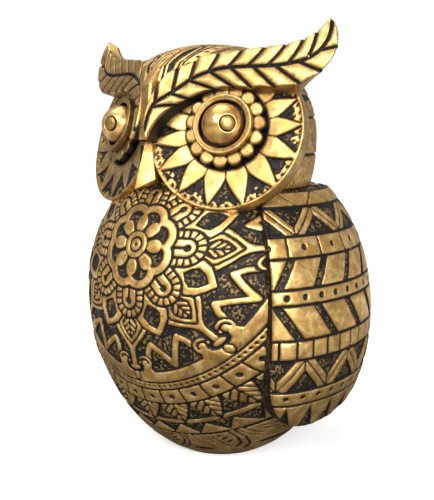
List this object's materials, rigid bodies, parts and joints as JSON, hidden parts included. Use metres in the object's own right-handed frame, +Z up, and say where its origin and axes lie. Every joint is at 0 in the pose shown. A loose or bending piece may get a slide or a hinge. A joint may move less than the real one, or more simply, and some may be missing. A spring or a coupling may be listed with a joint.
{
  "type": "owl figurine",
  "caption": "Egg-shaped standing owl ornament with round facial discs, swept brow plumes and folded wings, carved all over with mandala and band patterns, black with gilt highs.",
  "frame": {"origin": "centre of the torso's axis on the plane the felt pad rests on", "axes": "+Z up, the owl faces -Y, its left wing is on +X"},
  "size_m": [0.1092, 0.1025, 0.1502],
  "materials": {
    "gilt_resin": "cast polyresin painted black, raised areas dry-brushed in antique gold with a satin metallic sheen",
    "plug_resin": "matt cast filler",
    "felt": "black felt",
    "pin_metal": "plain drawn wire"
  },
  "bodies": {
    "root": {"torso": "gilt_resin", "head": "gilt_resin", "brow_bridge": "gilt_resin", "beak": "gilt_resin", "left_facial_disc": "gilt_resin", "right_facial_disc": "gilt_resin", "left_brow_plume": "gilt_resin", "right_brow_plume": "gilt_resin", "left_eye_collar": "gilt_resin", "right_eye_collar": "gilt_resin", "left_eye_cup": "gilt_resin", "right_eye_cup": "gilt_resin", "left_eyeball": "gilt_resin", "right_eyeball": "gilt_resin", "left_pupil": "gilt_resin", "right_pupil": "gilt_resin", "left_wing": "gilt_resin", "right_wing": "gilt_resin", "tail": "gilt_resin", "base_plug": "plug_resin", "felt_pad": "felt", "wing_pins": "pin_metal", "disc_pins": "pin_metal", "plume_pins": "pin_metal", "beak_pin": "pin_metal", "bridge_pin": "pin_metal", "tail_pins": "pin_metal"}
  },
  "joints": []
}
